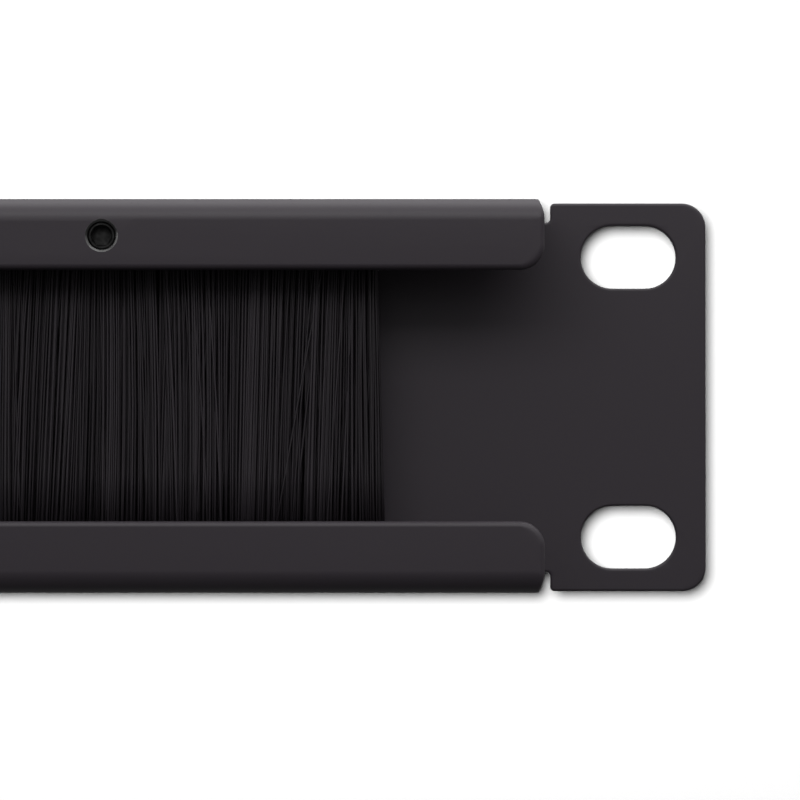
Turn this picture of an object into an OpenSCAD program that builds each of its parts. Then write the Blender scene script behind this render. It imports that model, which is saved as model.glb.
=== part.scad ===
// 19-inch rack brush panel, one unit high.
// One steel sheet is cut and folded into a shallow channel with a flat ear at each end.
// A strip brush hangs inside the channel, in front of the cable window.
// Width runs along X, the front faces -Y and +Z is up. The origin is the centre of
// the four rack slots, on the rear face that seats on the rack's rails.

/* [Panel] */
// Overall width, ear to ear
panel_w = 482.6; // [482:0.1:483.4]
// Height of the ears and of the folded channel
panel_h = 44; // [43.6:0.1:44.4]
// Thickness of the steel sheet
sheet_t = 1.5; // [1.2:0.1:1.6]
// Inside radius of every fold
fold_r = 1; // [0.8:0.1:1.2]
// Length of the folded channel between the ears
channel_w = 445.5; // [444:0.1:446]
// Depth of the channel, from the rear face to the front of the lips
channel_d = 13.5; // [13.2:0.1:14]
// Height of each front lip
lip_h = 8; // [7.6:0.1:8.4]
// Corner radius at the ends of each lip
lip_corner_r = 2.8; // [1:0.1:4]
// Corner radius of the ears
ear_corner_r = 2.7; // [1:0.1:4]

/* [Rack slots] */
// Distance between the slot columns
slot_pitch_x = 465.1; // [464:0.1:466]
// Distance between the slot rows
slot_pitch_z = 31.75; // [31:0.05:32]
// End-to-end length of a slot
slot_l = 10.8; // [9:0.1:12]
// Width of a slot
slot_w = 7.1; // [6.5:0.1:7.5]

/* [Fold ends] */
// Width of the relief cut between a fold and its ear
relief_w = 0.95; // [0.6:0.05:1.2]
// Depth of the relief cut below the ear's edge
relief_d = 2.15; // [1.5:0.05:2.4]
// Radius of the ear's corner beside the relief cut
relief_corner_r = 0.45; // [0.2:0.05:0.8]
// Radius of the drawn-in curve at the ends of each flange
flange_end_r = 4.2; // [4:0.1:6]
// Height over which that curve runs
flange_curve_h = 2.1; // [1.5:0.1:2.4]

/* [Cable window] */
// Width of the window in the back plate
window_w = 400; // [300:1:402]
// Height of the window
window_h = 27; // [20:0.5:27.5]
// Corner radius of the window
window_r = 3; // [1:0.5:6]

/* [Brush] */
// Length of the strip brush and of its carrier
brush_w = 408.4; // [404:0.1:412]
// Level of the bristle tips, below the middle of the panel
tip_drop = 17; // [15:0.5:19]
// Thickness of the bristle bundle where it leaves the backing
bundle_t = 3.6; // [3:0.1:3.8]
// Thickness of the bundle at the tips
tip_spread = 5.2; // [4:0.1:5.6]
// Diameter of the wire that the bristles are folded over
wire_d = 1.2; // [1:0.1:1.6]
// Clumps of bristles in each row of the bundle
clumps = 121; // [40:1:121]
// Width of one clump
clump_w = 1.35; // [0.8:0.05:1.6]

/* [Set screws] */
// Number of set screws along the top lip
screw_n = 4; // [2:1:6]
// Distance between set screws
screw_pitch = 115.6; // [60:0.1:130]
// Drop of the set screws below the middle of the lip
screw_drop = 0.2; // [0:0.1:0.6]
// Diameter of the tapped hole at the root of its thread
tap_d = 3.2; // [3:0.1:3.4]
// Width across flats of the hex socket
hex_af = 2; // [1.5:0.1:2]

/* [Hidden] */
$fn = 64;
EPS = 0.01;
fold_outer_r = fold_r + sheet_t;
top_z = panel_h / 2;
lip_edge_z = top_z - lip_h;
screw_z = top_z - lip_h / 2 - screw_drop;
lip_back_y = -(channel_d - sheet_t);
web_front_y = -sheet_t;

// Carrier: an extruded bar that fills the top of the channel, seated on the back plate.
carrier_d = 9.4;
carrier_rise = 0.3;
carrier_gap = 0.2;
carrier_bottom_z = lip_edge_z + carrier_rise;
carrier_top_z = top_z - sheet_t - carrier_gap;
carrier_corner_r = fold_r + carrier_gap;
carrier_front_y = web_front_y - carrier_d;
carrier_wall = 1.4;
carrier_roof = 1.3;
mouth_lip_h = 0.6;
mouth_lip_w = 0.4;

// Backing: the steel U that grips the bristles, held in the carrier's pocket.
backing_wall = 0.6;
backing_w = bundle_t + 2 * backing_wall;
pocket_gap = 0.1;
brush_y = carrier_front_y + carrier_wall + pocket_gap + backing_w / 2;
pocket_w = backing_w + 2 * pocket_gap;
pocket_top_z = carrier_top_z - carrier_roof;
backing_bottom_z = carrier_bottom_z + mouth_lip_h;
backing_r = 1.3;
wire_cover = 0.2;
wire_z = pocket_top_z - backing_wall - wire_cover - wire_d / 2;

// Bristles: rows of clumps, one row behind another, fanned from the backing to the tips.
row_t = 0.75;
row_n = 4;
row_root_pitch = (bundle_t - row_t) / (row_n - 1);
row_tip_pitch = (tip_spread - row_t) / (row_n - 1);
root_overlap = 0.5;
bristle_l = backing_bottom_z + tip_drop;
clump_pitch = (brush_w - clump_w) / (clumps - 1 / row_n);
tip_cut = 0.5;
lean_max = 0.8;
splay_w = 16;
splay_max = 1.1;
row_order = [0, 2, 1, 3];

// Set screws: short socket screws with a cone point, sunk just below the lip's face.
screw_play = 0.03;
screw_r = tap_d / 2 - screw_play;
screw_sink = 0.3;
screw_l = 3;
screw_edge = 0.2;
socket_depth = 1.3;
lead_in_w = 0.25;
lead_in_depth = 0.35;
rim_chamfer = 0.22;
screw_front_y = -channel_d + screw_sink;
screw_tip_y = screw_front_y + screw_l;

coat_black = [0.16, 0.15, 0.16];
mill_aluminium = [0.72, 0.73, 0.75];
zinc_steel = [0.60, 0.62, 0.64];
bristle_black = [0.08, 0.08, 0.09];
oxide_black = [0.22, 0.22, 0.23];

// ---- helpers ----

// A rectangle centred on the origin with true arcs at its corners.
module rounded_rect(w, h, r) {
    square([w - 2 * r, h], center = true);
    square([w, h - 2 * r], center = true);
    for (sx = [-1, 1], sy = [-1, 1])
        translate([sx * (w / 2 - r), sy * (h / 2 - r)])
            circle(r);
}

// The waste left outside a round corner whose centre is the origin.
module corner_waste(r, reach) {
    difference() {
        square(r + reach);
        circle(r);
    }
}

// Draws a front view, given as X and Z, and gives it thickness from y0 to y1.
module front_slab(y0, y1) {
    translate([0, y1, 0])
        rotate([90, 0, 0])
            linear_extrude(y1 - y0)
                children();
}

// Carries a section, given as Y and Z, along X over the length w.
module run_along_x(w) {
    rotate([90, 0, 90])
        linear_extrude(w, center = true)
            children();
}

// ---- folded panel ----

// Section of the folded sheet: back plate, two flanges and two lips.
module channel_section() {
    translate([-channel_d / 2, 0])
        difference() {
            rounded_rect(channel_d, panel_h, fold_outer_r);
            rounded_rect(channel_d - 2 * sheet_t, panel_h - 2 * sheet_t, fold_r);
            translate([-channel_d / 2, 0])
                square([4 * sheet_t, panel_h - 2 * lip_h], center = true);
        }
}

// Front view of the folded length, with its ends drawn in towards the outer folds.
module channel_front_view() {
    arc_z = top_z - flange_curve_h;
    difference() {
        square([channel_w, panel_h], center = true);
        for (sx = [0, 1], sz = [0, 1])
            mirror([sx, 0])
                mirror([0, sz])
                    translate([channel_w / 2 - flange_end_r, arc_z])
                        corner_waste(flange_end_r, 1);
    }
}

// The round corner cut from the free end of each lip.
module lip_corner_cuts() {
    for (sx = [0, 1], sz = [0, 1])
        mirror([sx, 0])
            mirror([0, sz])
                translate([channel_w / 2 - lip_corner_r, lip_edge_z + lip_corner_r])
                    mirror([0, 1])
                        corner_waste(lip_corner_r, 1);
}

// Flat outline of the back plate with both ears.
module plate_front_view() {
    ear_w = (panel_w - channel_w) / 2;
    square([channel_w + 1, panel_h - 2 * fold_outer_r], center = true);
    for (sx = [0, 1])
        mirror([sx, 0])
            translate([panel_w / 2 - ear_w / 2, 0])
                intersection() {
                    translate([-ear_w / 2, 0])
                        rounded_rect(2 * ear_w, panel_h, ear_corner_r);
                    square([ear_w, panel_h], center = true);
                }
}

// One obround slot, lying along X.
module rack_slot() {
    square([slot_l - slot_w, slot_w], center = true);
    for (sx = [-1, 1])
        translate([sx * (slot_l - slot_w) / 2, 0])
            circle(slot_w / 2);
}

module rack_slots() {
    for (sx = [-1, 1], sz = [-1, 1])
        translate([sx * slot_pitch_x / 2, sz * slot_pitch_z / 2])
            rack_slot();
}

// Narrow round-ended cuts that let each fold end beside its ear, whose corner is rounded.
module relief_cuts() {
    root_z = relief_w / 2 - relief_d;
    for (sx = [0, 1], sz = [0, 1])
        mirror([sx, 0])
            mirror([0, sz])
                translate([channel_w / 2, top_z]) {
                    translate([relief_w / 2, root_z])
                        circle(relief_w / 2);
                    translate([0, root_z])
                        square([relief_w, relief_d + 1]);
                    translate([relief_w + relief_corner_r, -relief_corner_r])
                        mirror([1, 0])
                            corner_waste(relief_corner_r, relief_w / 2);
                }
}

// Middle of each set screw along the lip.
function screw_x(i) = (i - (screw_n + 1) / 2) * screw_pitch;

// Moves to a set screw's axis, with +Z turned to point to the rear.
module at_screw(i, y) {
    translate([screw_x(i), y, screw_z])
        rotate([-90, 0, 0])
            children();
}

// One tapped hole through the lip, with its countersunk mouth.
module tapped_hole() {
    translate([0, 0, -1])
        cylinder(d = tap_d, h = sheet_t + 2);
    translate([0, 0, -EPS])
        cylinder(r1 = tap_d / 2 + rim_chamfer + EPS, r2 = tap_d / 2, h = rim_chamfer + EPS);
}

module panel() {
    color(coat_black)
        difference() {
            union() {
                difference() {
                    intersection() {
                        run_along_x(channel_w)
                            channel_section();
                        front_slab(-channel_d - 1, 1)
                            channel_front_view();
                    }
                    front_slab(-channel_d - 1, lip_back_y + fold_r)
                        lip_corner_cuts();
                }
                front_slab(web_front_y, 0)
                    plate_front_view();
            }
            front_slab(web_front_y - 1, 1) {
                rack_slots();
                rounded_rect(window_w, window_h, window_r);
            }
            front_slab(-channel_d - 1, 1)
                relief_cuts();
            for (i = [1:screw_n])
                at_screw(i, -channel_d)
                    tapped_hole();
        }
}

// ---- brush strip ----

// Section of the carrier: a bar with a pocket that opens downwards.
module carrier_section() {
    h = carrier_top_z - carrier_bottom_z;
    difference() {
        translate([carrier_front_y + carrier_d / 2, carrier_top_z - h])
            intersection() {
                rounded_rect(carrier_d, 2 * h, carrier_corner_r);
                translate([-carrier_d / 2, 0])
                    square([carrier_d, h]);
            }
        translate([brush_y - pocket_w / 2, backing_bottom_z])
            square([pocket_w, pocket_top_z - backing_bottom_z]);
        translate([brush_y - pocket_w / 2 + mouth_lip_w, carrier_bottom_z - 1])
            square([pocket_w - 2 * mouth_lip_w, mouth_lip_h + 1 + EPS]);
    }
}

module brush_carrier() {
    color(mill_aluminium)
        difference() {
            run_along_x(brush_w)
                carrier_section();
            for (i = [1:screw_n])
                at_screw(i, carrier_front_y)
                    point_seat();
        }
}

// The cone in the carrier's face that a set screw's point beds into.
module point_seat() {
    depth = screw_tip_y - carrier_front_y;
    translate([0, 0, -EPS])
        cylinder(r1 = depth + EPS, r2 = 0, h = depth + EPS);
}

// The space inside the backing, with its two round top corners.
module backing_hollow(grow) {
    w = bundle_t + 2 * grow;
    h = pocket_top_z - backing_wall + grow - backing_bottom_z;
    r = backing_r - backing_wall + grow;
    translate([brush_y, backing_bottom_z])
        intersection() {
            rounded_rect(w, 2 * h, r);
            translate([-w / 2, 0])
                square([w, h]);
        }
}

module strip_backing() {
    color(zinc_steel)
        run_along_x(brush_w)
            difference() {
                backing_hollow(backing_wall);
                backing_hollow(0);
                translate([brush_y - bundle_t / 2, backing_bottom_z - 1])
                    square([bundle_t, 2]);
            }
}

module core_wire() {
    color(zinc_steel)
        translate([-brush_w / 2, brush_y, wire_z])
            rotate([0, 90, 0])
                cylinder(d = wire_d, h = brush_w);
}

// How far a clump at x has moved sideways by the time it reaches its tip.
function splay(x) =
    sign(x) * splay_max * pow(max(0, (abs(x) - brush_w / 2 + splay_w) / splay_w), 2);

// One row of clumps, drawn in its own plane: X across and Y up, with Y = 0 at the backing.
module clump_row(k) {
    lean = rands(-lean_max, lean_max, clumps, 11 + k);
    cut_a = rands(-tip_cut, tip_cut, clumps, 31 + k);
    cut_b = rands(-tip_cut, tip_cut, clumps, 51 + k);
    shift = (row_order[k] - (row_n - 1) / 2) * clump_pitch / row_n;
    for (i = [0:clumps - 1]) {
        x = (i - (clumps - 1) / 2) * clump_pitch + shift;
        tip_x = x + splay(x) + lean[i] * (1 - abs(splay(x)) / splay_max);
        polygon([
            [x - clump_w / 2, root_overlap / 2],
            [tip_x - clump_w / 2, -bristle_l + cut_a[i]],
            [tip_x + clump_w / 2, -bristle_l + cut_b[i]],
            [x + clump_w / 2, root_overlap / 2]
        ]);
    }
}

module bristles() {
    color(bristle_black) {
        run_along_x(brush_w)
            difference() {
                backing_hollow(0);
                translate([brush_y, wire_z])
                    circle(d = wire_d);
            }
        for (k = [0:row_n - 1]) {
            root_y = (k - (row_n - 1) / 2) * row_root_pitch;
            tip_y = (k - (row_n - 1) / 2) * row_tip_pitch;
            translate([0, brush_y + root_y, backing_bottom_z])
                rotate([90 + atan((tip_y - root_y) / bristle_l), 0, 0])
                    linear_extrude(row_t, center = true)
                        clump_row(k);
        }
    }
}

// ---- set screws ----

module set_screw() {
    shank_l = screw_l - screw_r;
    difference() {
        rotate_extrude()
            polygon([
                [0, 0],
                [screw_r - screw_edge, 0],
                [screw_r, screw_edge],
                [screw_r, shank_l],
                [0, screw_l]
            ]);
        translate([0, 0, -EPS])
            cylinder(r = hex_af / 2 / cos(30), h = socket_depth, $fn = 6);
        translate([0, 0, -EPS])
            cylinder(r1 = hex_af / 2 + lead_in_w, r2 = hex_af / 2, h = lead_in_depth);
    }
}

// ---- assembly ----

panel();
brush_carrier();
strip_backing();
core_wire();
bristles();
for (i = [1:screw_n])
    color(oxide_black)
            at_screw(i, screw_front_y)
                set_screw();
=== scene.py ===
# %% [markdown]
# # A rack brush panel, dressed for the camera
#
# The panel is one unit high and fits a 19-inch rack. A folded steel sheet carries a strip
# brush whose bristles close the cable window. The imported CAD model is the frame: it fixes
# where every piece is, and this lesson gives each piece the surface of the real one.
#
# Each step says what the piece is on the real object, how it could be made in Blender, and
# why it is made the way it is here. All lengths are metres, in the frame of the CAD model:
# X runs along the panel, the front faces -Y and Z is up.

import math

import bmesh
import bpy
import numpy as np
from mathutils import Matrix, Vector


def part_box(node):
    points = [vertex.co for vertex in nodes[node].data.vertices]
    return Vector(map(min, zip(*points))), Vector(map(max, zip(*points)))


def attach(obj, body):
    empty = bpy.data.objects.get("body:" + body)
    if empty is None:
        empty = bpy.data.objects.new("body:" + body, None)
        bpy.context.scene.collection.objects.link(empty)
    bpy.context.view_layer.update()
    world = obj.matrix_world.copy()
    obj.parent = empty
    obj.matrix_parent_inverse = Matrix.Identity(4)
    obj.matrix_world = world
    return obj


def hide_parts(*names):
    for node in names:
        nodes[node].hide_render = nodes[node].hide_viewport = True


MM = 0.001
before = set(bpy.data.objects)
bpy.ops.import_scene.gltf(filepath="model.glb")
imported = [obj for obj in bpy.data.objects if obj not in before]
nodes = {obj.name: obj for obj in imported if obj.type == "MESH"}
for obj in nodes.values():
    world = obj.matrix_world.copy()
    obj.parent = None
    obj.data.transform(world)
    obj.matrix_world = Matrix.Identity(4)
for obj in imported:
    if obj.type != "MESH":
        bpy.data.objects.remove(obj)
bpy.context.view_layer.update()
panel_lo, panel_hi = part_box("panel")
bristle_lo, bristle_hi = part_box("bristles")
wire_lo, wire_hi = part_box("core_wire")
backing_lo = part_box("strip_backing")[0]

# %% [markdown]
# ## The camera
#
# The panel is seen nearly square on, close to its right-hand end, so the sheet's edges stay
# parallel to the frame. A long lens far away does that without any shift. The view is 90.7 mm
# wide at the ears. The distance makes the lips, 12 mm nearer, look 2 % larger, and the camera
# stands a little low, which lifts the lips by a fraction of a millimetre against the ears.

# %% Camera
SENSOR = 36.0
VIEW_W = 90.73 * MM
CAMERA_GAP = 628 * MM
CAMERA_TILT = math.radians(0.9)
EAR_FRONT_Y = -1.5 * MM
AIM_X = panel_hi.x - 34.66 * MM
AIM_Z = -0.32 * MM

camera_data = bpy.data.cameras.new("product_camera")
camera_data.sensor_width = SENSOR
camera_data.lens = SENSOR * CAMERA_GAP / VIEW_W
camera_data.clip_start = 0.05
camera_data.clip_end = 20
camera = bpy.data.objects.new("product_camera", camera_data)
aim = Vector((AIM_X, EAR_FRONT_Y, AIM_Z))
away = Vector((0, -math.cos(CAMERA_TILT), -math.sin(CAMERA_TILT)))
camera.location = aim + away * CAMERA_GAP
camera.rotation_euler = (math.radians(90) + CAMERA_TILT, 0, 0)
bpy.context.scene.collection.objects.link(camera)
bpy.context.scene.camera = camera
print("lens", round(camera_data.lens, 1), "mm")

# %% [markdown]
# ## Shader maths in Python
#
# A material's node tree can be wired by hand, one link at a time, but a formula is easier to
# read as an expression. `Value` wraps an output socket, and its operators add Math nodes, so
# `1 - mask * 0.5` builds the nodes that work it out. `Shader` holds the tree and makes any
# other node from its type, its settings and what goes into its sockets.

# %% A small language for node trees
class Value:
    """One number coming out of a node. Each operator adds a Math node that works it out."""

    def __init__(self, tree, socket):
        self.tree = tree
        self.socket = socket

    def math(self, operation, *others):
        """The Math node `operation`, with this value first and the others after it."""
        node = self.tree.nodes.new("ShaderNodeMath")
        node.operation = operation
        for slot, item in zip(node.inputs, (self, *others)):
            plug(self.tree, slot, item)
        return Value(self.tree, node.outputs[0])

    def __add__(self, other):
        return self.math("ADD", other)

    def __sub__(self, other):
        return self.math("SUBTRACT", other)

    def __rsub__(self, other):
        return self.math("MULTIPLY", -1.0) + other

    def __mul__(self, other):
        return self.math("MULTIPLY", other)

    __radd__ = __add__
    __rmul__ = __mul__

    def clip(self):
        """This value held between 0 and 1."""
        return self.math("MAXIMUM", 0.0).math("MINIMUM", 1.0)


def plug(tree, slot, item):
    """Links a Value or socket to an input, or writes a plain number or colour on it."""
    if isinstance(item, Value):
        item = item.socket
    if isinstance(item, bpy.types.NodeSocket):
        tree.links.new(item, slot)
    else:
        slot.default_value = item


class Shader:
    """A new material and its node tree, with one Principled surface."""

    def __init__(self, name):
        self.material = bpy.data.materials.new(name)
        self.material.use_nodes = True
        self.tree = self.material.node_tree
        self.surface = self.tree.nodes["Principled BSDF"]
        self.where = self.node("TexCoord").outputs["Object"]

    def node(self, kind, settings=None, **sockets):
        """A node of any type. Settings are set first, then each named socket is filled."""
        made = self.tree.nodes.new("ShaderNode" + kind)
        for key, item in (settings or {}).items():
            setattr(made, key, item)
        for key, item in sockets.items():
            plug(self.tree, made.inputs[key.replace("_", " ")], item)
        return made

    def out(self, made, name):
        """One output of a node, as a Value that takes part in expressions."""
        return Value(self.tree, made.outputs[name])

    def noise(self, scale, detail=2.0, at=None):
        """Soft noise between 0 and 1, with `scale` blotches to the metre."""
        made = self.node("TexNoise", Vector=at or self.where, Scale=scale, Detail=detail)
        return self.out(made, "Fac")

    def stretched(self, x, y, z):
        """Object coordinates scaled along each axis, so a noise on them comes out stretched."""
        return self.node("Mapping", Vector=self.where, Scale=(x, y, z)).outputs["Vector"]

    def blend(self, mask, first, second):
        """A colour that goes from `first` to `second` as the mask goes from 0 to 1."""
        made = self.node("Mix", {"data_type": "RGBA"})
        plug(self.tree, made.inputs["Factor"], mask)
        plug(self.tree, made.inputs[6], first)
        plug(self.tree, made.inputs[7], second)
        return made.outputs[2]

    def bump(self, height, distance, strength=1.0, after=None):
        """Turns a height into a bent normal. `distance` is the height in metres at 1."""
        made = self.node("Bump", Height=height, Distance=distance, Strength=strength)
        if after is not None:
            plug(self.tree, made.inputs["Normal"], after)
        return made.outputs["Normal"]

    def set(self, **sockets):
        """Fills the Principled surface's sockets: a number, a colour or a link."""
        for key, item in sockets.items():
            plug(self.tree, self.surface.inputs[key.replace("_", " ")], item)
        return self.material


def grey(level, warm=0.0):
    """A nearly neutral colour, with `warm` moving it from blue towards red."""
    return (level * (1 + warm), level, level * (1 - warm), 1.0)


print("shader helpers ready")

# %% [markdown]
# ## Powder coat
#
# The sheet is sprayed with black powder and baked, which leaves a satin skin with a very
# fine orange peel. A flat colour looks like cardboard, so the colour drifts slightly over
# centimetres, the peel is a shallow bump a fraction of a millimetre across, and a few
# pinholes and grains show up close. The coat is a dielectric: its gloss is not coloured.

# %% Powder coat
SCREW_PITCH = 115.6 * MM
SCREW_Z = 17.8 * MM
TAPPED_R = 1.84 * MM
THREAD_DEPTH = 1.9 * MM


def tapped_mask(s):
    """1 inside the four tapped holes of the top lip, where the tap cut the coat away.

    The holes lie at odd half pitches, so x / pitch has the fraction 0.5 at each axis. The
    distance from the nearest axis is sqrt(x'^2 + z'^2).
    """
    split = s.node("SeparateXYZ", Vector=s.where)
    x = (s.out(split, "X") * (1 / SCREW_PITCH)).math("FRACT") - 0.5
    x = x * SCREW_PITCH
    z = s.out(split, "Z") - SCREW_Z
    near = (x * x + z * z).math("LESS_THAN", TAPPED_R**2)
    return near * s.out(split, "Y").math("LESS_THAN", panel_lo.y + THREAD_DEPTH)


def powder_coat():
    """Satin black powder coat: drift in the colour, orange peel, fine grain, bare threads."""
    s = Shader("powder_coat")
    drift = s.noise(14, detail=3)
    peel = s.noise(1600, detail=2)
    grain = s.noise(7000, detail=1)
    speck = ((s.noise(2600, detail=0) - 0.70) * 6).clip()
    bare = tapped_mask(s)
    coat = s.blend(drift, (0.0500, 0.0415, 0.0515, 1), (0.0550, 0.0460, 0.0565, 1))
    rough = 0.38 + drift * 0.06 + grain * 0.08 + speck * 0.1
    skin = s.bump(peel, 6e-6)
    skin = s.bump(grain, 1.2e-6, after=skin)
    return s.set(
        Base_Color=s.blend(bare, coat, grey(0.26)),
        Roughness=rough * (1 - bare) + bare * 0.30,
        Metallic=bare,
        Normal=skin,
        IOR=1.5,
    )


COAT = powder_coat()
print("made", COAT.name)

# %% [markdown]
# ## Metals behind the lip
#
# The carrier is an aluminium extrusion, the backing is galvanised strip and the core wire is
# drawn steel. All three were pulled through a tool along X, so fine lines run that way. The
# same recipe serves for all: a noise that is stretched along X drives roughness and bump.
# Zinc also freezes in crystals, which a Voronoi pattern gives.

# %% Drawn metals
def drawn_metal(name, low, high, rough, line_height):
    """Metal with drawing lines along X, its colour drifting between two greys."""
    s = Shader(name)
    lines = s.noise(1, detail=4, at=s.stretched(40, 6000, 6000))
    smudge = s.noise(90, detail=3)
    colour = s.blend(lines * 0.5 + smudge * 0.5, grey(low), grey(high, -0.02))
    return s.set(
        Base_Color=colour,
        Metallic=1.0,
        Roughness=rough - 0.08 + lines * 0.16 + smudge * 0.06,
        Normal=s.bump(lines, line_height),
    )


def zinc_skin():
    """Galvanised steel: flat crystals a few millimetres wide, each with its own grey."""
    s = Shader("zinc_steel")
    cells = s.node("TexVoronoi", Vector=s.where, Scale=420.0)
    crystal = s.out(s.node("SeparateColor", Color=cells.outputs["Color"]), "Red")
    lines = s.noise(1, detail=3, at=s.stretched(60, 5000, 5000))
    colour = s.blend(crystal, grey(0.42, -0.02), grey(0.60, -0.03))
    return s.set(
        Base_Color=colour,
        Metallic=1.0,
        Roughness=0.34 + crystal * 0.14 + lines * 0.06,
        Normal=s.bump(lines, 1e-6),
    )


ALUMINIUM = drawn_metal("mill_aluminium", 0.58, 0.70, 0.36, 2e-6)
ZINC = zinc_skin()
CORE = drawn_metal("core_steel", 0.42, 0.55, 0.32, 1.5e-6)
print("made", ALUMINIUM.name, ZINC.name, CORE.name)

# %% Black oxide
def black_oxide():
    """Black oxide on a screw: dark metal, greyer where the tool has rubbed it."""
    s = Shader("oxide_steel")
    rub = s.noise(1500, detail=4)
    colour = s.blend((rub - 0.35).clip() * 2, grey(0.030), grey(0.085))
    return s.set(
        Base_Color=colour,
        Metallic=0.9,
        Roughness=0.36 + rub * 0.14,
        Normal=s.bump(rub, 2e-6),
    )


OXIDE = black_oxide()
print("made", OXIDE.name)

# %% [markdown]
# ## Nylon bristle
#
# A bristle is a solid black filament with a smooth drawn skin, so it catches a thin glint
# along its length. Filaments come from different spools and lie at different depths, so each
# carries a random number in the attribute `strand`, which shifts its colour and gloss.

# %% Bristle material
def bristle_nylon():
    """Black nylon filament, its shade and gloss set by each strand's own number."""
    s = Shader("bristle_nylon")
    strand = s.out(s.node("Attribute", {"attribute_name": "strand"}), "Fac")
    along = s.noise(1, detail=2, at=s.stretched(900, 900, 160))
    shade = strand * 0.75 + along * 0.25
    colour = s.blend(shade, (0.0200, 0.0165, 0.0205, 1), (0.0460, 0.0385, 0.0470, 1))
    return s.set(
        Base_Color=colour,
        Roughness=0.42 + strand * 0.14 + along * 0.06,
        Normal=s.bump(along, 2e-6),
        IOR=1.53,
    )


BRISTLE = bristle_nylon()
print("made", BRISTLE.name)

# %% [markdown]
# ## Dressing the CAD pieces
#
# The carrier, backing, wire and screws have their true form in the CAD model already. They
# only need their finish, which goes into the material slots that the frame gave them.

# %% Finishes on the CAD nodes
def finish_node(name, material):
    """Puts one material in every slot of a CAD node."""
    slots = nodes[name].data.materials
    if len(slots) == 0:
        slots.append(material)
    for i in range(len(slots)):
        slots[i] = material


finish_node("brush_carrier", ALUMINIUM)
finish_node("strip_backing", ZINC)
finish_node("core_wire", CORE)
screws = sorted(n for n in nodes if n.startswith("set_screw"))
for name in screws:
    finish_node(name, OXIDE)
print("dressed", len(screws), "screws and three drawn metals")

# %% [markdown]
# ## The folded sheet
#
# The real panel is cut flat, its edges are softened, and four bends fold it. A Bevel modifier
# on the CAD mesh gets lost where rounded edges run into the bends, so this copy is made the
# way the real one is: an outline in the plane, rims with a round section, a filled front and
# back, and then one formula that folds every vertex.
#
# The flat sheet lies in (u, v, w): u along the panel, v from its middle line towards the free
# edge of a lip, w through the thickness. Powder builds up on edges, so all are round, and the
# lips' free edges, which the shear rolls over, are rounder still.

# %% Measures of the sheet, in millimetres
SHEET_T = 1.5
FOLD_R = 1.0
OUTER_R = FOLD_R + SHEET_T
MID_R = FOLD_R + SHEET_T / 2
HALF_H = panel_hi.z / MM
HALF_W = panel_hi.x / MM
DEPTH = -panel_lo.y / MM
HALF_CHANNEL = 222.75
LIP_H = 8.0
LIP_CORNER_R = 2.8
EAR_CORNER_R = 2.7
RELIEF_W = 0.95
RELIEF_D = 2.15
RELIEF_CORNER_R = 0.45
END_R = 4.2
END_H = 2.1
BEND_STEPS = 10
RELIEF_TOP_CUT = 3

BEND_L = MID_R * math.pi / 2
V_REAR = HALF_H - OUTER_R
V_FLANGE = V_REAR + BEND_L
V_FRONT = V_FLANGE + DEPTH - 2 * OUTER_R
V_LIP = V_FRONT + BEND_L
V_EDGE = V_LIP + LIP_H - OUTER_R
REAR_CUTS = np.linspace(V_REAR, V_FLANGE, BEND_STEPS + 1)
FRONT_CUTS = np.linspace(V_FRONT, V_LIP, BEND_STEPS + 1)
print("flat sheet:", 2 * HALF_W, "x", round(2 * V_EDGE, 2), "mm")

# %% Outlines in the plane
def arc(centre, rx, ry, start, end, steps):
    """Points (cx + rx cos a, cy + ry sin a) as a goes from start to end, in degrees."""
    a = np.radians(np.linspace(start, end, steps + 1))
    return np.stack([centre[0] + rx * np.cos(a), centre[1] + ry * np.sin(a)], axis=1)


def channel_end(v):
    """Half length of the channel at v: drawn in by R - sqrt(R^2 - h^2) over the folds.

    h is how far the fold's outer face at v rises above the curve's start.
    """
    rear = np.clip((v - V_REAR) / MID_R, 0, math.pi / 2)
    front = np.clip((v - V_FRONT) / MID_R, 0, math.pi / 2)
    height = HALF_H - OUTER_R + OUTER_R * np.sin(rear) * np.cos(front)
    h = np.clip(height - (HALF_H - END_H), 0, None)
    return HALF_CHANNEL - END_R + np.sqrt(END_R**2 - h**2)


def quarter_outline():
    """The outline of one quarter, from the ear's side round to the lip's free edge."""
    ear_r, nick_r, lip_r = EAR_CORNER_R, RELIEF_CORNER_R, LIP_CORNER_R
    root_u = HALF_CHANNEL + RELIEF_W / 2
    root_v = HALF_H - RELIEF_D + RELIEF_W / 2
    rise_v = REAR_CUTS[RELIEF_TOP_CUT]
    rise_u = channel_end(rise_v)
    corner = (HALF_W - ear_r, HALF_H - ear_r)
    nick = (HALF_CHANNEL + RELIEF_W + nick_r, HALF_H - nick_r)
    lip = (HALF_CHANNEL - lip_r, V_EDGE - lip_r)
    ends = np.concatenate([REAR_CUTS[RELIEF_TOP_CUT + 1 :], FRONT_CUTS])
    root_ry = rise_v - root_v + RELIEF_W / 2
    return np.concatenate(
        [
            arc(corner, ear_r, ear_r, 0, 90, 12),
            arc(nick, nick_r, nick_r, 90, 180, 6),
            arc((root_u, root_v), RELIEF_W / 2, RELIEF_W / 2, 0, -90, 6),
            arc((root_u, rise_v), root_u - rise_u, root_ry, -90, -180, 6)[1:],
            np.stack([channel_end(ends), ends], axis=1),
            arc(lip, lip_r, lip_r, 0, 90, 14),
        ]
    )


def whole_outline():
    """Four mirrored quarters, joined in one anticlockwise loop."""
    q = quarter_outline()
    parts = [q, q[::-1] * [-1, 1], q * [-1, -1], q[::-1] * [1, -1]]
    return np.concatenate(parts)


def obround(centre, length, width):
    """A slot's outline, run clockwise so that the metal is on its left like the outline's."""
    r = width / 2
    cu, cv = centre
    reach = (length - width) / 2
    right = arc((cu + reach, cv), r, r, 90, -90, 20)
    left = arc((cu - reach, cv), r, r, 270, 90, 20)
    return np.concatenate([right, left])


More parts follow.
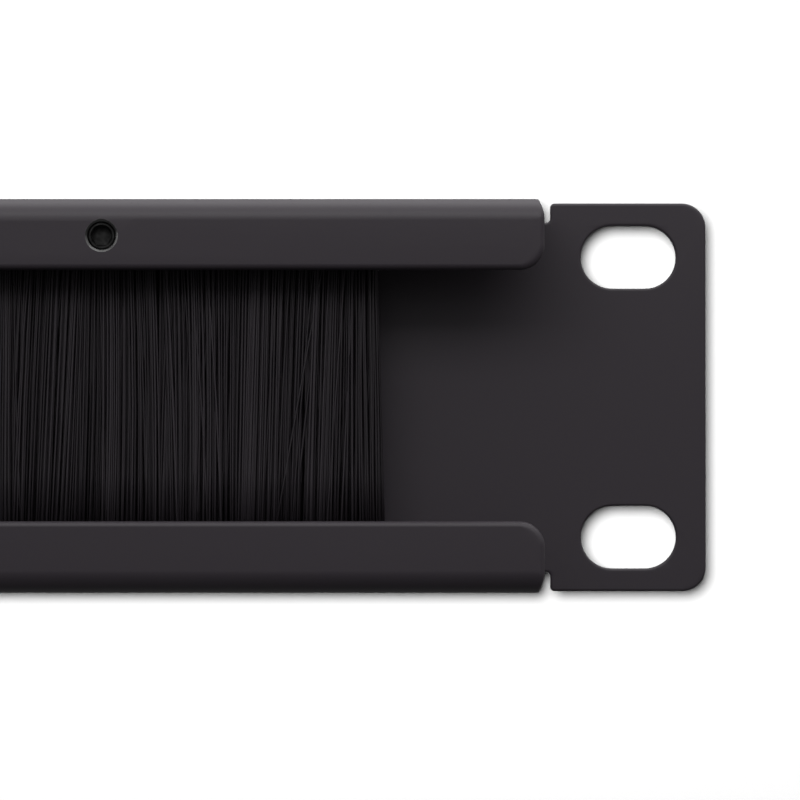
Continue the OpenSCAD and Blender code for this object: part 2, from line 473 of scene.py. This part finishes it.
def window(half_w, half_h, r):
    """The cable window's outline, clockwise."""
    corners = [(1, 1, 90), (1, -1, 0), (-1, -1, -90), (-1, 1, -180)]
    return np.concatenate(
        [arc((a * (half_w - r), b * (half_h - r)), r, r, t, t - 90, 8) for a, b, t in corners]
    )


SLOT_U = 232.55
SLOT_V = 15.875
SLOT_L = 10.8
SLOT_W = 7.1
WINDOW_HALF_W = 200
WINDOW_HALF_H = 13.5
WINDOW_R = 3
TAP_R = 1.6
SCREW_V = V_LIP + HALF_H - OUTER_R - SCREW_Z / MM

outline = whole_outline()
slots = [obround((a * SLOT_U, b * SLOT_V), SLOT_L, SLOT_W) for a in (-1, 1) for b in (-1, 1)]
opening = window(WINDOW_HALF_W, WINDOW_HALF_H, WINDOW_R)
taps = [
    arc((k * SCREW_PITCH / MM, SCREW_V), TAP_R, TAP_R, 0, -360, 48)[:-1]
    for k in (-1.5, -0.5, 0.5, 1.5)
]
print("outline points:", len(outline), "holes:", len(slots) + 1 + len(taps))

# %% Rims
EDGE_R = 0.26
LIP_EDGE_R = 0.66
RIM_RINGS = 5
TAP_CHAMFER = 0.22


def step_left(loop, distance):
    """Moves every point of a closed loop to its left.

    The step is m = 2 (a + b) / |a + b|^2 times the distance, where a and b are the normals
    of the two edges that meet there, so it is longer at a corner, as a mitre is.
    """
    edge = np.roll(loop, -1, axis=0) - loop
    normal = np.stack([-edge[:, 1], edge[:, 0]], axis=1)
    normal /= np.linalg.norm(normal, axis=1, keepdims=True)
    both = normal + np.roll(normal, 1, axis=0)
    both *= 2 / (both**2).sum(axis=1, keepdims=True)
    return loop + both * distance[:, None]


def round_rim(loop):
    """Rings from the back to the front of a rounded edge: (rings, points, 3) in (u, v, w).

    Each side is a quarter circle: inset r (1 - sin a), height r (1 - cos a) off the face.
    """
    on_lip = np.clip((np.abs(loop[:, 1]) - V_FRONT) / BEND_L, 0, 1)
    back_r = np.full(len(loop), EDGE_R)
    front_r = EDGE_R + (LIP_EDGE_R - EDGE_R) * on_lip
    a = np.radians(np.linspace(0, 90, RIM_RINGS))[:, None]
    inset = np.concatenate([back_r * (1 - np.sin(a)), (front_r * (1 - np.sin(a)))[::-1]])
    back = -SHEET_T / 2 + back_r * (1 - np.cos(a))
    front = SHEET_T / 2 - front_r * (1 - np.cos(a))
    w = np.concatenate([back, front[::-1]])
    return np.stack([np.column_stack([step_left(loop, i), h]) for i, h in zip(inset, w)])


def tapped_rim(loop):
    """Rings of a hole with plain walls and a chamfer at its front."""
    steps = [(0, -SHEET_T / 2), (0, SHEET_T / 2 - TAP_CHAMFER), (TAP_CHAMFER, SHEET_T / 2)]
    ones = np.ones(len(loop))
    return np.stack([np.column_stack([step_left(loop, i * ones), h * ones]) for i, h in steps])


rims = [round_rim(loop) for loop in [outline, opening, *slots]]
rims += [tapped_rim(loop) for loop in taps]
print("rim points:", sum(r.shape[0] * r.shape[1] for r in rims))

# %% Front, back and rims as one mesh
def sheet_mesh(name, rims):
    """A closed flat sheet: rims, a filled front and back, and a cut for every bend edge."""
    starts = np.cumsum([0] + [r.shape[0] * r.shape[1] for r in rims])
    co = np.concatenate([r.reshape(-1, 3) for r in rims])
    faces = []
    for rim, start in zip(rims, starts):
        rings, n = rim.shape[:2]
        a = start + (np.arange(rings - 1) * n)[:, None] + np.arange(n)
        b = start + (np.arange(rings - 1) * n)[:, None] + np.roll(np.arange(n), -1)
        faces += np.stack([a, b, b + n, a + n], axis=-1).reshape(-1, 4).tolist()
    mesh = bpy.data.meshes.new(name)
    mesh.from_pydata(co.tolist(), [], faces)
    bm = bmesh.new()
    bm.from_mesh(mesh)
    for side in (-1, 1):
        open_edges = [e for e in bm.edges if e.is_boundary and e.verts[0].co.z * side > 0]
        bmesh.ops.triangle_fill(bm, use_beauty=True, edges=open_edges, normal=(0, 0, side))
    bmesh.ops.triangulate(bm, faces=bm.faces)
    along = [((0, v, 0), (0, 1, 0)) for v in np.concatenate([REAR_CUTS, FRONT_CUTS])]
    across = [((u, 0, 0), (1, 0, 0)) for u in (HALF_CHANNEL, HALF_CHANNEL + RELIEF_W)]
    for place, normal in along + across:
        for side in (1, -1):
            bmesh.ops.bisect_plane(
                bm,
                geom=bm.verts[:] + bm.edges[:] + bm.faces[:],
                dist=1e-4,
                plane_co=Vector(place) * side,
                plane_no=normal,
            )
    bmesh.ops.recalc_face_normals(bm, faces=bm.faces)
    bm.to_mesh(mesh)
    bm.free()
    return mesh


sheet = sheet_mesh("folded_panel", rims)
print("flat sheet has", len(sheet.polygons), "faces")

# %% Fold it
def read(items, key, width=None, kind=np.float32):
    """One attribute of every vertex, edge, loop or face, as an array."""
    values = np.empty(len(items) * (width or 1), dtype=kind)
    items.foreach_get(key, values)
    return values.reshape(-1, width) if width else values


def fold(flat):
    """Carries (u, v, w) to (x, y, z).

    s = |v| runs along the section's middle line. The rear and front bends turn the outward
    normal by the angles p and q, from (1, 0) in (y, z) to (cos (p + q), sin (p + q)). The
    middle line is the sum of its stretches: up the web, R (cos p - 1, sin p) round the rear
    bend, forward along the flange, R (-sin q, cos q - 1) round the front bend, and down the
    lip. The ears stay flat, and the root of each relief goes from one to the other.
    """
    u, v, w = flat.T
    s = np.abs(v)
    p = np.clip((s - V_REAR) / MID_R, 0, math.pi / 2)
    q = np.clip((s - V_FRONT) / MID_R, 0, math.pi / 2)
    flange = np.clip(s - V_FLANGE, 0, V_FRONT - V_FLANGE)
    lip = np.maximum(s - V_LIP, 0)
    y = -SHEET_T / 2 + MID_R * (np.cos(p) - 1) - flange - MID_R * np.sin(q) + w * np.cos(p + q)
    z = np.minimum(s, V_REAR) + MID_R * (np.sin(p) + np.cos(q) - 1) - lip + w * np.sin(p + q)
    bent = np.clip((HALF_CHANNEL + RELIEF_W - np.abs(u)) / RELIEF_W, 0, 1)
    y = bent * y + (1 - bent) * (w - SHEET_T / 2)
    z = bent * z + (1 - bent) * s
    return np.stack([u, y, np.sign(v) * z], axis=1)


SHARP = math.radians(32)
folded = fold(read(sheet.vertices, "co", 3).astype(np.float64)) * MM
sheet.vertices.foreach_set("co", folded.astype(np.float32).ravel())
sheet.update()
bm = bmesh.new()
bm.from_mesh(sheet)
bmesh.ops.recalc_face_normals(bm, faces=bm.faces)
bm.to_mesh(sheet)
bm.free()
sheet.shade_smooth()
sheet.set_sharp_from_angle(angle=SHARP)
sheet.materials.append(COAT)
panel = bpy.data.objects.new("folded_panel", sheet)
bpy.context.scene.collection.objects.link(panel)
weighted = panel.modifiers.new("flats", "WEIGHTED_NORMAL")
weighted.keep_sharp = True
weighted.mode = "FACE_AREA"
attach(panel, "root")
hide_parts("panel")
print("folded box in mm:", (folded.min(axis=0) / MM).round(3), (folded.max(axis=0) / MM).round(3))

# %% [markdown]
# ## Bristles
#
# Thousands of filaments are folded over the core wire, gripped by the backing and hang down
# to just behind the lower lip. Blender's hair could draw them, but hair is not geometry that
# leaves the file, so each filament is a thin four-sided tube. All of them are worked out at
# once: an array holds the centre line of every filament, ring by ring, and the four corners
# of each ring are set round it.
#
# A filament's path has two stretches. Inside the backing it comes down from the top of the
# wire. Below the mouth it runs to its tip, with a lean, a bow and a lag that come from noise:
# neighbours lean alike, as clumps do, and a few stray.

# %% Tubes from centre lines
def tubes(name, centre, radius, strand):
    """A mesh of four-sided tubes. `centre` is (tubes, rings, 3), `radius` (tubes, rings).

    At every ring the tangent is the difference of its neighbours. The side vector is the
    tangent crossed with X, and the corners are the centre plus or minus the radius along the
    side vector and along the vector square to both.
    """
    n, rings, _ = centre.shape
    tangent = np.gradient(centre, axis=1)
    tangent /= np.linalg.norm(tangent, axis=2, keepdims=True)
    side = np.cross(tangent, np.array([1.0, 0.0, 0.0]))
    side /= np.linalg.norm(side, axis=2, keepdims=True)
    across = np.cross(side, tangent)
    r = radius[:, :, None]
    corners = np.stack([side, across, -side, -across], axis=2) * r[:, :, None]
    verts = (centre[:, :, None] + corners).reshape(-1, 3)

    start = (np.arange(n) * rings * 4)[:, None, None]
    ring = (np.arange(rings - 1) * 4)[None, :, None]
    k = np.arange(4)[None, None, :]
    a = start + ring + k
    b = start + ring + (k + 1) % 4
    walls = np.stack([a, b, b + 4, a + 4], axis=-1).reshape(-1, 4)
    first = start[:, 0] + np.array([[3, 2, 1, 0]])
    last = start[:, 0] + (rings - 1) * 4 + np.array([[0, 1, 2, 3]])
    quads = np.concatenate([walls, first, last]).astype(np.int32)

    mesh = bpy.data.meshes.new(name)
    mesh.vertices.add(len(verts))
    mesh.vertices.foreach_set("co", verts.astype(np.float32).ravel())
    mesh.loops.add(quads.size)
    mesh.loops.foreach_set("vertex_index", quads.ravel())
    mesh.polygons.add(len(quads))
    mesh.polygons.foreach_set("loop_start", np.arange(len(quads), dtype=np.int32) * 4)
    smooth = np.ones(len(quads), dtype=bool)
    smooth[len(walls):] = False
    mesh.polygons.foreach_set("use_smooth", smooth)
    number = mesh.attributes.new("strand", "FLOAT", "POINT")
    number.data.foreach_set("value", np.repeat(strand, rings * 4).astype(np.float32))
    mesh.update(calc_edges=True)
    piece = bpy.data.objects.new(name, mesh)
    bpy.context.scene.collection.objects.link(piece)
    return piece


# %% Smooth noise along the strip
def wander(x, wavelength, rng):
    """Random values a wavelength apart, joined by smooth steps and read at x."""
    t = (x - x.min()) / wavelength
    whole = np.floor(t).astype(int)
    part = t - whole
    ease = part * part * (3 - 2 * part)
    knots = rng.normal(size=whole.max() + 2)
    return knots[whole] * (1 - ease) + knots[whole + 1] * ease


# %% The paths of the filaments
BRUSH_X = wire_hi.x
MOUTH_Z = backing_lo.z
WIRE_Y = (wire_lo.y + wire_hi.y) / 2
WIRE_Z = (wire_lo.z + wire_hi.z) / 2
WIRE_R = (wire_hi.z - wire_lo.z) / 2
GRIP = 1.68 * MM
TIP_SPREAD = 2.45 * MM
TIP_Z = bristle_lo.z + 0.55 * MM
FILAMENT_R = 0.125 * MM
LAYERS = 7


END_ZONE = 11 * MM
PUSHED_SHARE = 0.13
PUSHED_MOST = 4.2


def end_leans(x, depth, rng):
    """Sideways travel near the two ends of the strip.

    Close to an end most filaments splay outwards, as nothing props them up there, while a
    few of the front ones have been pushed inwards and cross the rest.
    """
    room = np.clip((np.abs(x) - BRUSH_X) / END_ZONE + 1, 0, 1)
    outward = room**3 * rng.uniform(0.3, 1.1, x.size)
    pushed = (rng.random(x.size) < PUSHED_SHARE) & (depth < 0.1) & (room > 0.25)
    inward = pushed * (1 + PUSHED_MOST * rng.random(x.size) ** 1.5)
    return np.sign(x) * (np.where(pushed, 0, outward) - inward) * MM


LOCK_W = 6 * MM
LOCK_LEAN = 0.55
LOCK_BIAS = 0.25
CLUMP_W = 1.7 * MM
CLUMP_LEAN = 0.26
STRAY_SHARE = 0.10
STRAY_LEAN = 0.9
CALM_LEAN = 0.12
BOW_W = 4 * MM


def filament_paths(n, rng):
    """Centre lines of n filaments with their roots spread along the strip.

    Depth is -1 at the front of the bundle and 1 at the back. Below the mouth the height
    falls evenly from the mouth to the tip while x follows lean * t + bow * sin(pi t)
    and y fans out from the grip to the tip spread. Above it, the filament rises beside the
    wire and bends over its top.
    """
    half = BRUSH_X - FILAMENT_R
    x = np.sort(rng.uniform(-half, half, n))
    depth = rng.uniform(-1, 1, n)
    layer = np.floor((depth + 1) / 2 * LAYERS)
    in_layer = x + layer * 3 * BRUSH_X
    lock = wander(in_layer, LOCK_W, rng) * LOCK_LEAN - LOCK_BIAS
    clump = wander(in_layer, CLUMP_W, rng) * CLUMP_LEAN
    stray = rng.normal(size=n) * np.where(rng.random(n) < STRAY_SHARE, STRAY_LEAN, CALM_LEAN)
    lean = (lock + clump + stray) * MM + end_leans(x, depth, rng)
    bow = (wander(in_layer, BOW_W, rng) * 0.13 + rng.normal(size=n) * 0.06) * MM
    tip_y = depth * TIP_SPREAD + rng.normal(size=n) * 0.10 * MM
    tip_z = TIP_Z + rng.uniform(-0.5, 0.5, n) * MM

    t = np.linspace(0, 1, 5)
    fall_x = x[:, None] + lean[:, None] * t + bow[:, None] * np.sin(math.pi * t)
    fall_y = WIRE_Y + depth[:, None] * GRIP * (1 - t) + tip_y[:, None] * t
    fall_z = MOUTH_Z + (tip_z[:, None] - MOUTH_Z) * t

    turn = np.sign(depth) * (WIRE_R + np.abs(depth) * (GRIP - WIRE_R))
    root_x = np.repeat(x[:, None], 2, axis=1)
    root_y = WIRE_Y + turn[:, None] * np.array([0.3, 1.0])
    root_z = WIRE_Z + np.repeat([[WIRE_R + 0.12 * MM, -0.2 * MM]], n, axis=0)

    paths = np.stack(
        [
            np.concatenate([root_x, fall_x], axis=1),
            np.concatenate([root_y, fall_y], axis=1),
            np.concatenate([root_z, fall_z], axis=1),
        ],
        axis=2,
    )
    limit = bristle_hi.x - FILAMENT_R
    paths[:, :, 0] = np.clip(paths[:, :, 0], -limit, limit)
    radius = FILAMENT_R * rng.uniform(0.75, 1.15, n)[:, None] * np.ones((1, paths.shape[1]))
    return paths, radius, rng.random(n)


# %% Bristles in five stretches
STRETCHES = 5
FILAMENTS = 17500
paths, radius, strand = filament_paths(FILAMENTS, np.random.default_rng(40))
brush = []
for i, part in enumerate(np.array_split(np.arange(FILAMENTS), STRETCHES)):
    piece = tubes(f"bristles_{i + 1}", paths[part], radius[part], strand[part])
    piece.data.materials.append(BRISTLE)
    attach(piece, "root")
    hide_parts("bristles")
    brush.append(piece)
print("bristle triangles:", [len(p.data.polygons) * 2 for p in brush])

# %% [markdown]
# ## Studio
#
# The panel is shown on white, in soft light that comes from above and a little from the left.
# The sheet is nearly black, so what shows its form is what it reflects: a broad softbox
# overhead draws the bright line along the top fold, and darkness below keeps the bottom fold
# black. A small lamp near the top of the front makes the upper lip lighter than the lower
# one. The world is white to the camera, and dim to the surfaces that it lights.

# %% World
FLOOR_GLOW = 0.08
UPPER_GLOW = 0.62
ZENITH_GLOW = 0.5
ZENITH_FROM = 0.45
RISE_FROM = 0.04
RISE_SPEED = 2.1
WALL_GLOW = 0.12
WALL_SPEED = 3.0


def studio_world():
    """White for camera rays. Surfaces get a dim floor, a brighter upper half and a faint wall.

    Above the horizon the glow rises as the smooth step 3 t^2 - 2 t^3 of the height.
    """
    world = bpy.data.worlds.new("studio")
    bpy.context.scene.world = world
    world.use_nodes = True
    tree = world.node_tree
    tree.nodes.clear()
    made = {}
    for key, kind in (
        ("out", "OutputWorld"), ("back", "Background"), ("path", "LightPath"),
        ("where", "TexCoord"), ("split", "SeparateXYZ"),
    ):
        made[key] = tree.nodes.new("ShaderNode" + kind)
    tree.links.new(made["where"].outputs["Generated"], made["split"].inputs[0])
    up = Value(tree, made["split"].outputs["Z"])
    behind = Value(tree, made["split"].outputs["Y"])
    seen = Value(tree, made["path"].outputs["Is Camera Ray"])
    gloss = Value(tree, made["path"].outputs["Is Glossy Ray"])
    clear = Value(tree, made["path"].outputs["Is Transmission Ray"])
    rise = ((up + RISE_FROM) * RISE_SPEED).clip()
    ramp = rise * rise * (3 - 2 * rise)
    room = FLOOR_GLOW + ramp * UPPER_GLOW + (up - ZENITH_FROM).clip() * ZENITH_GLOW
    wall = (behind * WALL_SPEED).clip()
    lit = room + (gloss + clear).clip() * wall * WALL_GLOW
    strength = lit * (1 - seen) + seen
    tree.links.new(strength.socket, made["back"].inputs["Strength"])
    tree.links.new(made["back"].outputs[0], made["out"].inputs["Surface"])


studio_world()
print("world set")

# %% Lights
def softbox(name, at, aim, size, power):
    """A rectangular soft light at a place, turned to face a point."""
    data = bpy.data.lights.new(name, "AREA")
    data.shape = "RECTANGLE"
    data.size, data.size_y = size
    data.energy = power
    lamp = bpy.data.objects.new(name, data)
    lamp.location = at
    lamp.rotation_euler = (Vector(aim) - Vector(at)).to_track_quat("-Z", "Y").to_euler()
    bpy.context.scene.collection.objects.link(lamp)
    return lamp


softbox("overhead", (AIM_X, 0.18, 1.0), (AIM_X, 0, 0), (2.0, 0.75), 6)
softbox("near_top", (AIM_X, -0.20, 0.15), (AIM_X, 0, 0), (0.3, 0.08), 0.15)
softbox("left_side", (AIM_X - 1.1, -0.01, 0.32), (AIM_X, -0.01, 0), (0.25, 0.9), 1.5)
print("lights set")

# %% [markdown]
# ## Backdrop
#
# The panel hangs just in front of a white board, which takes its shadow. The board is seen by
# the camera only, so it throws no light on the panel, and it is clear from behind, where it
# would hide the panel's back. It fades out into the white world a few centimetres away.
#
# The shadow is short and equally wide all round, like that of a thin plate. The panel's own
# lamps would stretch it by the channel's depth, so the board has its own lamp, and a card
# cut to the panel's outline stands behind the panel and blocks that lamp alone. The card only
# stops light that meets it from behind, so the panel's back isn't darkened.

# %% Board
CARD_Y = panel_hi.y + 0.25 * MM
BOARD_Y = CARD_Y + 2.5 * MM
BOARD_REACH = 60 * MM
BOARD_SHADE = (0.12, 0.12, 0.12, 1)


def show_only(piece, *rays):
    """Leaves a stage piece visible to the named kinds of ray only."""
    for ray in ("camera", "diffuse", "glossy", "transmission", "shadow"):
        setattr(piece, "visible_" + ray, ray in rays)
    bpy.context.scene.collection.objects.link(piece)


def one_sided(name, surface, clear_part):
    """A surface that gives way to full transparency where `clear_part` is 1."""
    s = Shader(name)
    s.tree.nodes.remove(s.surface)
    mix = s.node("MixShader")
    matt = s.node("BsdfDiffuse", Color=surface)
    plug(s.tree, mix.inputs[0], clear_part(s, s.out(s.node("NewGeometry"), "Backfacing")))
    s.tree.links.new(matt.outputs[0], mix.inputs[1])
    s.tree.links.new(s.node("BsdfTransparent").outputs[0], mix.inputs[2])
    s.tree.links.new(mix.outputs[0], s.tree.nodes["Material Output"].inputs["Surface"])
    return s.material


def board_clear(s, rear):
    """Clear from behind, and fading out over the reach beyond the panel's outline."""
    split = s.node("SeparateXYZ", Vector=s.where)
    x = s.out(split, "X").math("ABSOLUTE") - panel_hi.x
    z = s.out(split, "Z").math("ABSOLUTE") - panel_hi.z
    beyond = x.math("MAXIMUM", z) * (1 / BOARD_REACH)
    return beyond.clip().math("MAXIMUM", rear)


bx = panel_hi.x + BOARD_REACH
bz = panel_hi.z + BOARD_REACH
board_mesh = bpy.data.meshes.new("backdrop")
board_mesh.from_pydata(
    [(-bx, BOARD_Y, -bz), (bx, BOARD_Y, -bz), (bx, BOARD_Y, bz), (-bx, BOARD_Y, bz)],
    [],
    [(0, 1, 2, 3)],
)
board_mesh.materials.append(one_sided("backdrop_white", BOARD_SHADE, board_clear))
board = bpy.data.objects.new("backdrop", board_mesh)
show_only(board, "camera")

# %% Card
def outline_card(name, mesh, eye, plane_y):
    """The faces of a mesh that the eye sees, flattened on a plane along the lines of sight.

    Each vertex p moves to eye + (p - eye) * (plane_y - eye.y) / (p.y - eye.y).
    """
    co = read(mesh.vertices, "co", 3).astype(np.float64)
    eye = np.array(eye)
    mesh.calc_loop_triangles()
    corners = read(mesh.loop_triangles, "vertices", 3, np.int32)
    a, b, c = (co[corners[:, k]] for k in range(3))
    faces_eye = (np.cross(b - a, c - a) * (eye - a)).sum(axis=1) > 0
    scale = (plane_y - eye[1]) / (co[:, 1:2] - eye[1])
    flat = bpy.data.meshes.new(name)
    flat.from_pydata((eye + (co - eye) * scale).tolist(), [], corners[faces_eye].tolist())
    return bpy.data.objects.new(name, flat)


card = outline_card("shadow_card", panel.data, camera.location, CARD_Y)
card.data.materials.append(
    one_sided("card_black", (0, 0, 0, 1), lambda s, rear: 1 - rear)
)
show_only(card, "shadow")
print("card has", len(card.data.polygons), "triangles")

# %% Board lamp
SHADOW_X = 0.59 * MM
SHADOW_Z = 0.57 * MM
SHADOW_BLUR = 0.96 * MM
BOARD_POWER = 121


def only(name, piece):
    """A collection that holds one stage piece, for linking a lamp to it."""
    group = bpy.data.collections.new(name)
    group.objects.link(piece)
    return group


gap = BOARD_Y - CARD_Y
centre = Vector((AIM_X, BOARD_Y, 0))
toward = Vector((-SHADOW_X, -gap, SHADOW_Z)) / gap
board_lamp = softbox("board_lamp", centre + toward, centre, (1, 1), BOARD_POWER)
board_lamp.data.shape = "DISK"
board_lamp.data.size = 2 * SHADOW_BLUR / gap
board_lamp.light_linking.receiver_collection = only("lit_board", board)
board_lamp.light_linking.blocker_collection = only("board_blocker", card)
print("backdrop set")

# %% [markdown]
# ## View transform
#
# Colours are shown as they are written, so the view transform is Standard.

# %% Finish
bpy.context.scene.view_settings.view_transform = "Standard"
